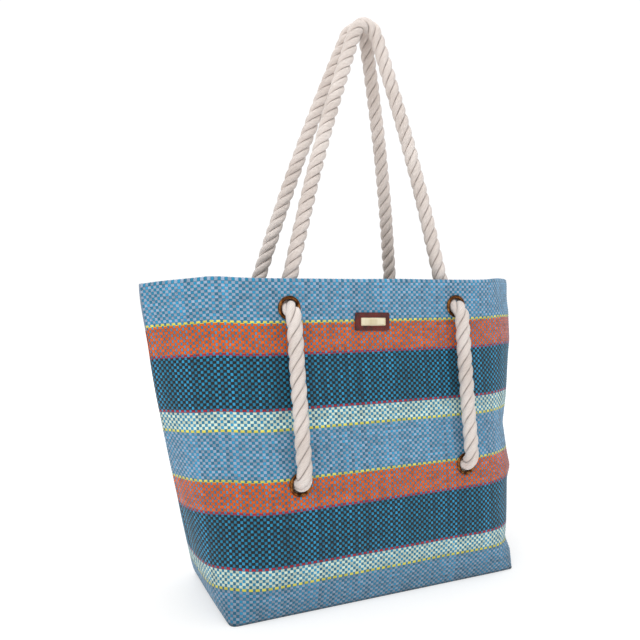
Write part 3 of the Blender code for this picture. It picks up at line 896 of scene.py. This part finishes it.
def woven_layer(back, columns, t, depth, relief, sign=1):
    """One layer's points at heights t, and how many weave rows down each height is."""
    down = sign * (1 - t) * ROWS
    columns, rows = np.meshgrid(columns, down)
    height = cell_relief(columns, rows) * relief
    return layer_points(back, columns / COLUMNS * 2 - 1, t[:, None], depth, height), down


def make_panel(back, word):
    """One woven side: outer face, fold at the rim, facing inside it, and the cloth's back."""
    columns = np.arange(COLUMNS * PER_CELL + 1) / PER_CELL
    s = columns / COLUMNS * 2 - 1
    step = 1 / (ROWS * PER_CELL)
    outer_t = np.arange((ROWS - 1) * PER_CELL + 1) * step
    face_t = 1 - 1.0 / ROWS - np.arange(0, FOLD_ROWS * PER_CELL + 1) * step
    back_t = back_heights(face_t[-1])
    outer, outer_rows = woven_layer(back, columns, outer_t, seam_dip(s), RELIEF)
    facing, facing_rows = woven_layer(back, columns, face_t, INSIDE_DEPTH, -RELIEF, -1)
    hidden, hidden_rows = woven_layer(back, columns, back_t, WEAVE, 0.0)
    fold_rows = 1 - np.arange(1, FOLD_STEPS) / 3
    points = np.concatenate([outer, fold_rings(back, s, columns), facing, hidden])
    uv_rows = np.concatenate([outer_rows, fold_rows, facing_rows, hidden_rows])
    count = len(points)
    uv = np.stack(np.broadcast_arrays(columns[None], uv_rows[:, None]), axis=-1)
    faces = strip_faces(count, len(s), closed_rows=True)
    faces += side_caps(len(s), count - len(back_t), outer_t, back_t, face_t)
    panel = add_mesh(f"{word}_weave", points.reshape(-1, 3), faces, STRAW, 75, uv.reshape(-1, 2))
    cut_holes(panel, back)
    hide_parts(f"{word}_panel", f"{word}_rim_facing")
    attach(panel, "bag")
    return panel


def cut_holes(obj, back):
    """Round holes for the grommets through every layer, cut clean."""
    work = bmesh.new()
    for side, end in GROMMETS:
        bmesh.ops.create_cone(
            work, cap_ends=True, segments=40, radius1=BARREL_RADIUS + GAP,
            radius2=BARREL_RADIUS + GAP, depth=0.03, matrix=grommet_place(back, side, end),
        )
    mesh = bpy.data.meshes.new("cutter")
    work.to_mesh(mesh)
    work.free()
    cutter = bpy.data.objects.new("cutter", mesh)
    bpy.context.scene.collection.objects.link(cutter)
    modifier = obj.modifiers.new("holes", "BOOLEAN")
    modifier.operation, modifier.object, modifier.solver = "DIFFERENCE", cutter, "FAST"
    cut = bpy.data.meshes.new_from_object(obj.evaluated_get(bpy.context.evaluated_depsgraph_get()))
    obj.modifiers.clear()
    cut.name = obj.name
    obj.data = cut
    bpy.data.objects.remove(cutter)


for back, word in FACES:
    make_panel(back, word)


# ---- lining ----
def closed_sheet(name, outer, inner, mat, uv):
    """A thin closed sheet between two equal grids of points."""
    rows, columns = outer.shape[:2]
    points, uv = np.concatenate([outer, inner[::-1]]), np.concatenate([uv, uv[::-1]])
    faces = strip_faces(2 * rows, columns, closed_rows=True)
    for j in (0, columns - 1):
        for i in range(rows - 1):
            far = 2 * rows - 1 - i
            faces.append([k * columns + j for k in (i, i + 1, far - 1, far)])
    return add_mesh(name, points.reshape(-1, 3), faces, mat, 60, uv.reshape(-1, 2), "metres")


LINING_INSET, LINING_LAP, LINING_LOOSE = 0.0034, 0.004, 0.0030


def make_lining(back, word):
    """The cotton lining, a little loose, from under the facing down to the base."""
    reach = 1 - LINING_INSET / (PANEL_WIDTH / 2)
    top = 1 - (FACING_DROP - LINING_LAP) / PANEL_HEIGHT
    s = np.linspace(-reach, reach, 141)
    t = np.linspace((WEAVE + GAP * 2) / PANEL_HEIGHT + 0.002, top, 81)
    grid_s, grid_t = np.meshgrid(s, t)
    loose = grid_noise(grid_s.shape, (5, 8)) * 0.5 + grid_noise(grid_s.shape, (10, 22)) * 0.3 + 0.55
    hold = smooth(grid_t / 0.10) * smooth((top - grid_t) / 0.12)
    hold = hold * (1 - smooth((np.abs(grid_s) - 0.93) / 0.06))
    for side, _ in SIDES:
        across = (grid_s - side * GROMMET_S) * PANEL_WIDTH / 2
        apart = np.hypot(across, (grid_t - LOWER_T) * PANEL_HEIGHT)
        hold = hold * smooth((apart - 0.016) / 0.03)
    depth = WEAVE + GAP + LINING_LOOSE * np.clip(loose, 0, 2) * hold
    outer = layer_points(back, grid_s, grid_t, depth, 0 * grid_t)
    inner = layer_points(back, grid_s, grid_t, depth + LINING, 0 * grid_t)
    uv = np.stack([grid_s * PANEL_WIDTH / 2, grid_t * PANEL_HEIGHT], axis=-1)
    lining = closed_sheet(f"{word}_lining_cloth", outer, inner, COTTON, uv)
    cut_holes(lining, back)
    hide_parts(f"{word}_lining")
    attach(lining, "bag")


for back, word in FACES:
    make_lining(back, word)


# ---- base ----
def base_outline(inset, count=120):
    """The base's edge: the panels' foot, held in by `inset`, from the left seam round."""
    s = np.linspace(-BASE_REACH, BASE_REACH, count)
    loops = []
    for back in (False, True):
        out = axes(back, s, np.zeros_like(s))[2]
        edge = cloth(back, s, np.zeros_like(s)) - flat_unit(out) * inset
        loops.append(edge[::-1] if back else edge)
    return np.concatenate(loops)


def base_cloth(name, node, mat, inset, level, thickness, puff, uv_name, scale):
    """A closed sheet that fills the foot of the panels, its short ends lifted at the seams."""
    outline = base_outline(inset)
    rings = np.array([1.0, 0.985, 0.97, 0.95, 0.93, 0.88, 0.8, 0.68, 0.52, 0.36, 0.2, 0.07])
    tops, bottoms, uv = [], [], []
    for ring in rings:
        plan = outline * np.array([ring, ring, 0])
        lifted = outline[:, 2] * smooth((ring - 0.90) / 0.10)
        wave = puff * np.sin(plan[:, 0] * 47 + 1.0) * np.sin(plan[:, 1] * 61) * smooth((1 - ring) / 0.08)
        bottom = plan.copy()
        bottom[:, 2] = level + lifted + np.maximum(wave, 0)
        bottoms.append(bottom)
        tops.append(bottom + np.array([0, 0, thickness]))
        uv.append(plan[:, :2] * scale)
    points, uv = np.concatenate([*bottoms[::-1], *tops]), np.concatenate([*uv[::-1], *uv])
    rows, count = 2 * len(rings), len(outline)
    faces = strip_faces(rows, count, closed_columns=True) + end_faces(rows, count)
    obj = add_mesh(name, points, faces, mat, 50, uv, uv_name)
    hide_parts(node)
    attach(obj, "bag")
    return obj


CELLS_A_METRE = np.array([COLUMNS / PANEL_WIDTH, ROWS / PANEL_HEIGHT])
FLOOR_INSET, FLOOR_RISE, FLOOR_PUFF = 0.0052, 0.0028, 0.0008  # the lining over the board
base_weave = base_cloth("base_weave", "base_panel", STRAW_PLAIN, WEAVE + 2.5 * GAP, 0.0, WEAVE, 0.0,
                        "cells", CELLS_A_METRE)
base_floor = base_cloth("base_lining_cloth", "base_lining", COTTON, FLOOR_INSET,
                        WEAVE + GAP + FLOOR_RISE, LINING, FLOOR_PUFF, "metres", 1.0)
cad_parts["base_board"].data.materials.clear()
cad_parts["base_board"].data.materials.append(BOARD)


# ---- grommets ----
LATHE_SIDES = 64
EYE_RADIUS, DOME_FOOT, DOME_RISE = 0.0096, 0.0004, 0.0019


def lathe(name, profile, mat, place):
    """A closed outline of (radius, height) turned about the z of its place."""
    angle = 2 * math.pi * np.arange(LATHE_SIDES) / LATHE_SIDES
    points = np.array([
        [(r * math.cos(a), r * math.sin(a), h) for r, h in profile] for a in angle
    ]).reshape(-1, 3)
    faces = strip_faces(LATHE_SIDES, len(profile), closed_rows=True, closed_columns=True)
    obj = add_mesh(name, points, faces, mat, 40)
    obj.matrix_world = place
    return obj


def make_grommet(back, side, end, word, side_word):
    """A rolled eyelet with its barrel turned out over a washer inside."""
    place = grommet_place(back, side, end)
    eye, rim = EYE_RADIUS, FLANGE_RADIUS
    inside = -stack_depth(end) - 0.0008
    mid, half = (eye + rim) / 2, (rim - eye) / 2
    dome = [(mid - half * math.cos(a), DOME_FOOT + DOME_RISE * math.sin(a) ** 0.75)
            for a in (math.pi * k / 10 for k in range(1, 10))]
    low = inside - 0.0009
    lip = [(BARREL_RADIUS + 0.0014, low - 0.0002), (BARREL_RADIUS + 0.0016, low - 0.0006),
           (BARREL_RADIUS + 0.0010, low - 0.0010), (eye + 0.0003, low - 0.0008), (eye, low)]
    profile = [*lip, (eye, 0.0003), *dome, (rim, 0.0004), (rim - 0.0004, 0.00015)]
    profile += [(BARREL_RADIUS, 0.00015), (BARREL_RADIUS, low)]
    eyelet = lathe(f"{word}_{end}_{side_word}_eyelet", profile, BRASS, place)
    edge = FLANGE_RADIUS - 0.0002
    ring = [(BARREL_RADIUS + 0.0002, inside), (edge - 0.0004, inside), (edge, inside - 0.0003),
            (edge - 0.0003, inside - 0.0007), (BARREL_RADIUS + 0.0004, inside - 0.0008)]
    washer = lathe(f"{word}_{end}_{side_word}_washer_ring", ring, BRASS, place)
    for piece, kind in ((eyelet, "grommet"), (washer, "washer")):
        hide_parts(f"{word}_{end}_{side_word}_{kind}")
        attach(piece, "bag")


for back, word in FACES:
    for side, side_word in SIDES:
        for end in ("upper", "lower"):
            make_grommet(back, side, end, word, side_word)


# ---- label ----
def rounded_outline(width, height, corner, segments=6):
    points = []
    for quarter, (sx, sy) in enumerate([(1, 1), (-1, 1), (-1, -1), (1, -1)]):
        for step in range(segments + 1):
            a = math.radians(90 * quarter + 90 * step / segments)
            points.append((sx * (width / 2 - corner) + corner * math.cos(a),
                           sy * (height / 2 - corner) + corner * math.sin(a)))
    return points


def stacked_plate(name, width, height, corner, levels, mat, place):
    """A plate from rings of (inset, level), its outline's corners round."""
    rings = [
        [(x, y, level) for x, y in rounded_outline(width - 2 * inset, height - 2 * inset,
                                                   max(corner - inset, 0.0003))]
        for inset, level in levels
    ]
    count = len(rings[0])
    points = [p for ring in rings for p in ring]
    faces = strip_faces(len(rings), count, closed_columns=True)
    faces += end_faces(len(rings), count)
    obj = add_mesh(name, points, faces, mat, 40)
    obj.matrix_world = place
    return obj


STITCH_RINGS = (0.5, 0.9, 1, 1, 0.9, 0.5)  # how thick a stitch is along its length


def stitch(name, points, normals, mat, length, pitch, thick):
    """A row of separate stitches along a line on a surface, one mesh."""
    line, normals = np.array(points), np.array(normals)
    run = np.concatenate([[0], np.cumsum(np.linalg.norm(np.diff(line, axis=0), axis=1))])
    count = int((run[-1] - length) / pitch) + 1
    verts, faces = [], []
    rings = len(STITCH_RINGS)
    arch = np.sin(np.linspace(0, math.pi, rings)) * thick * 0.9 - thick * 0.35
    angle = math.pi / 3 * np.arange(6)
    for k in range(count):
        at = k * pitch + np.linspace(0, length, rings)
        centre = np.stack([np.interp(at, run, line[:, i]) for i in range(3)], axis=1)
        normal = unit(np.stack([np.interp(at, run, normals[:, i]) for i in range(3)], axis=1))
        centre = centre + normal * arch[:, None]
        tangent = unit(np.gradient(centre, axis=0))
        side = unit(np.cross(tangent, normal))
        base, size = len(verts), np.array(STITCH_RINGS)[:, None, None] * thick / 2
        ring = centre[:, None] + size * swept(np.cos(angle), np.sin(angle), side, normal)
        verts += list(ring.reshape(-1, 3))
        faces += strip_faces(rings, 6, closed_columns=True, start=base) + end_faces(rings, 6, base)
    obj = add_mesh(name, verts, faces, mat, 60)
    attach(obj, "bag")


PATCH_SIZE, PATCH_LIFT, PATCH_FACE = (0.0455, 0.0208), 0.0006, 0.0024
PLATE_SIZE, STITCH_INSET = (0.0325, 0.0092), 0.0023


def make_label():
    place = cloth_place(False, PATCH_S, PATCH_T) @ Matrix.Rotation(PATCH_TURN, 4, "Z")
    out = place.col[2].to_3d()
    place.translation += out * PATCH_LIFT
    levels = [(0.0004, 0.0), (0.0, 0.0005), (0.0, 0.0013), (0.0003, 0.0019), (0.0009, 0.0023),
              (0.0020, 0.00235), (0.0028, 0.0021), (0.0050, 0.0022)]
    patch = stacked_plate("label_leather", *PATCH_SIZE, 0.0022, levels, LEATHER, place)
    width, height = (size - 2 * STITCH_INSET for size in PATCH_SIZE)
    outline = rounded_outline(width, height, 0.0010, 3)
    line = [tuple(place @ Vector((x, y, 0.00225))) for x, y in outline + outline[:1]]
    stitch("label_stitches", line, [tuple(out)] * len(line), DARK_THREAD, 0.0017, 0.0025, 0.0005)
    seat = place.copy()
    seat.translation = place.translation + out * PATCH_FACE
    levels = [(0.0002, 0.0), (0.0, 0.0003), (0.0, 0.0009), (0.0003, 0.0013), (0.0009, 0.0013),
              (0.0011, 0.0010), (0.0013, 0.0009), (0.0024, 0.0009)]
    plate = stacked_plate("label_gilt_plate", *PLATE_SIZE, 0.0010, levels, GILT, seat)
    for piece, node, slot in ((patch, "label_patch", "leather"), (plate, "label_plate", "gilt")):
        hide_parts(node)
        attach(piece, "bag")


make_label()


# ---- stitching on the cloth ----
HEM_UP, HEM_INSET = 0.0040, 0.012


def stitch_facing(back, word):
    """A row of stitches along the facing's lower edge, inside the mouth."""
    ends = 1 - HEM_INSET / (PANEL_WIDTH / 2)
    s = np.linspace(-ends, ends, 400)
    t = np.full_like(s, 1 - (FACING_DROP - HEM_UP) / PANEL_HEIGHT)
    points = layer_points(back, s, t, INSIDE_DEPTH + RELIEF * 0.6, np.zeros_like(s))
    inward = -axes(back, s, t)[2]
    stitch(f"{word}_facing_stitches", points, inward, BLUE_THREAD, 0.0030, 0.0042, 0.0007)


for back, word in FACES:
    stitch_facing(back, word)


# ---- floor and light ----
WORLD_LIGHT, BACKDROP = 0.42, 1.05
FLOOR_SHADED, FLOOR_GLOW = (0.35, 1.6), (0.52, 0.84)  # how far out the floor's own light grows
FLOOR_HALF, FLOOR_CELLS, FLOOR_LEVEL = 9.0, 24, -0.0004


def make_floor():
    n = Nodes("floor")
    n.set(Base_Color=(0.6, 0.6, 0.6, 1.0), Roughness=0.95, Specular_IOR_Level=0.0,
          Emission_Color=(1.0, 1.0, 1.0, 1.0))
    away = n.node("VectorMath", {0: n.place()}, "Value", operation="LENGTH")
    glow = n.band(away, *FLOOR_SHADED, *FLOOR_GLOW)
    n.tree.links.new(glow, n.shader.inputs["Emission Strength"])
    stops = FLOOR_HALF * np.linspace(-1, 1, FLOOR_CELLS + 1)
    points = [(x, y, FLOOR_LEVEL) for y in stops for x in stops]
    floor = add_mesh("floor", points, strip_faces(FLOOR_CELLS + 1, FLOOR_CELLS + 1), n.mat, 80)


def area_light(name, place, target, size, power, colour=(1, 1, 1)):
    data = bpy.data.lights.new(name, "AREA")
    data.shape, data.size, data.energy, data.color = "DISK", size, power, colour
    light = bpy.data.objects.new(name, data)
    bpy.context.scene.collection.objects.link(light)
    light.location = place
    light.rotation_euler = (Vector(target) - Vector(place)).to_track_quat("-Z", "Y").to_euler()


def make_world():
    """A dim even studio whose backdrop is white."""
    world = bpy.data.worlds.new("world")
    bpy.context.scene.world = world
    world.use_nodes = True
    tree = world.node_tree
    background, output = tree.nodes["Background"], tree.nodes["World Output"]
    background.inputs["Color"].default_value = (1.0, 1.0, 1.0, 1.0)
    background.inputs["Strength"].default_value = WORLD_LIGHT
    seen = tree.nodes.new("ShaderNodeBackground")
    seen.inputs["Color"].default_value = (1.0, 1.0, 1.0, 1.0)
    seen.inputs["Strength"].default_value = BACKDROP
    path, mix = tree.nodes.new("ShaderNodeLightPath"), tree.nodes.new("ShaderNodeMixShader")
    tree.links.new(path.outputs["Is Camera Ray"], mix.inputs[0])
    tree.links.new(background.outputs[0], mix.inputs[1])
    tree.links.new(seen.outputs[0], mix.inputs[2])
    tree.links.new(mix.outputs[0], output.inputs["Surface"])


bpy.context.scene.view_settings.view_transform = "Standard"
make_floor()
make_world()
area_light("key", (-1.6, -1.6, 1.9), (0, 0, 0.25), 1.4, 25, (1.0, 0.985, 0.965))
area_light("fill", (1.8, -1.2, 1.0), (0, 0, 0.25), 1.6, 5, (0.96, 0.98, 1.0))
area_light("top", (0.0, 0.1, 2.6), (0, 0, 0.2), 2.4, 34)
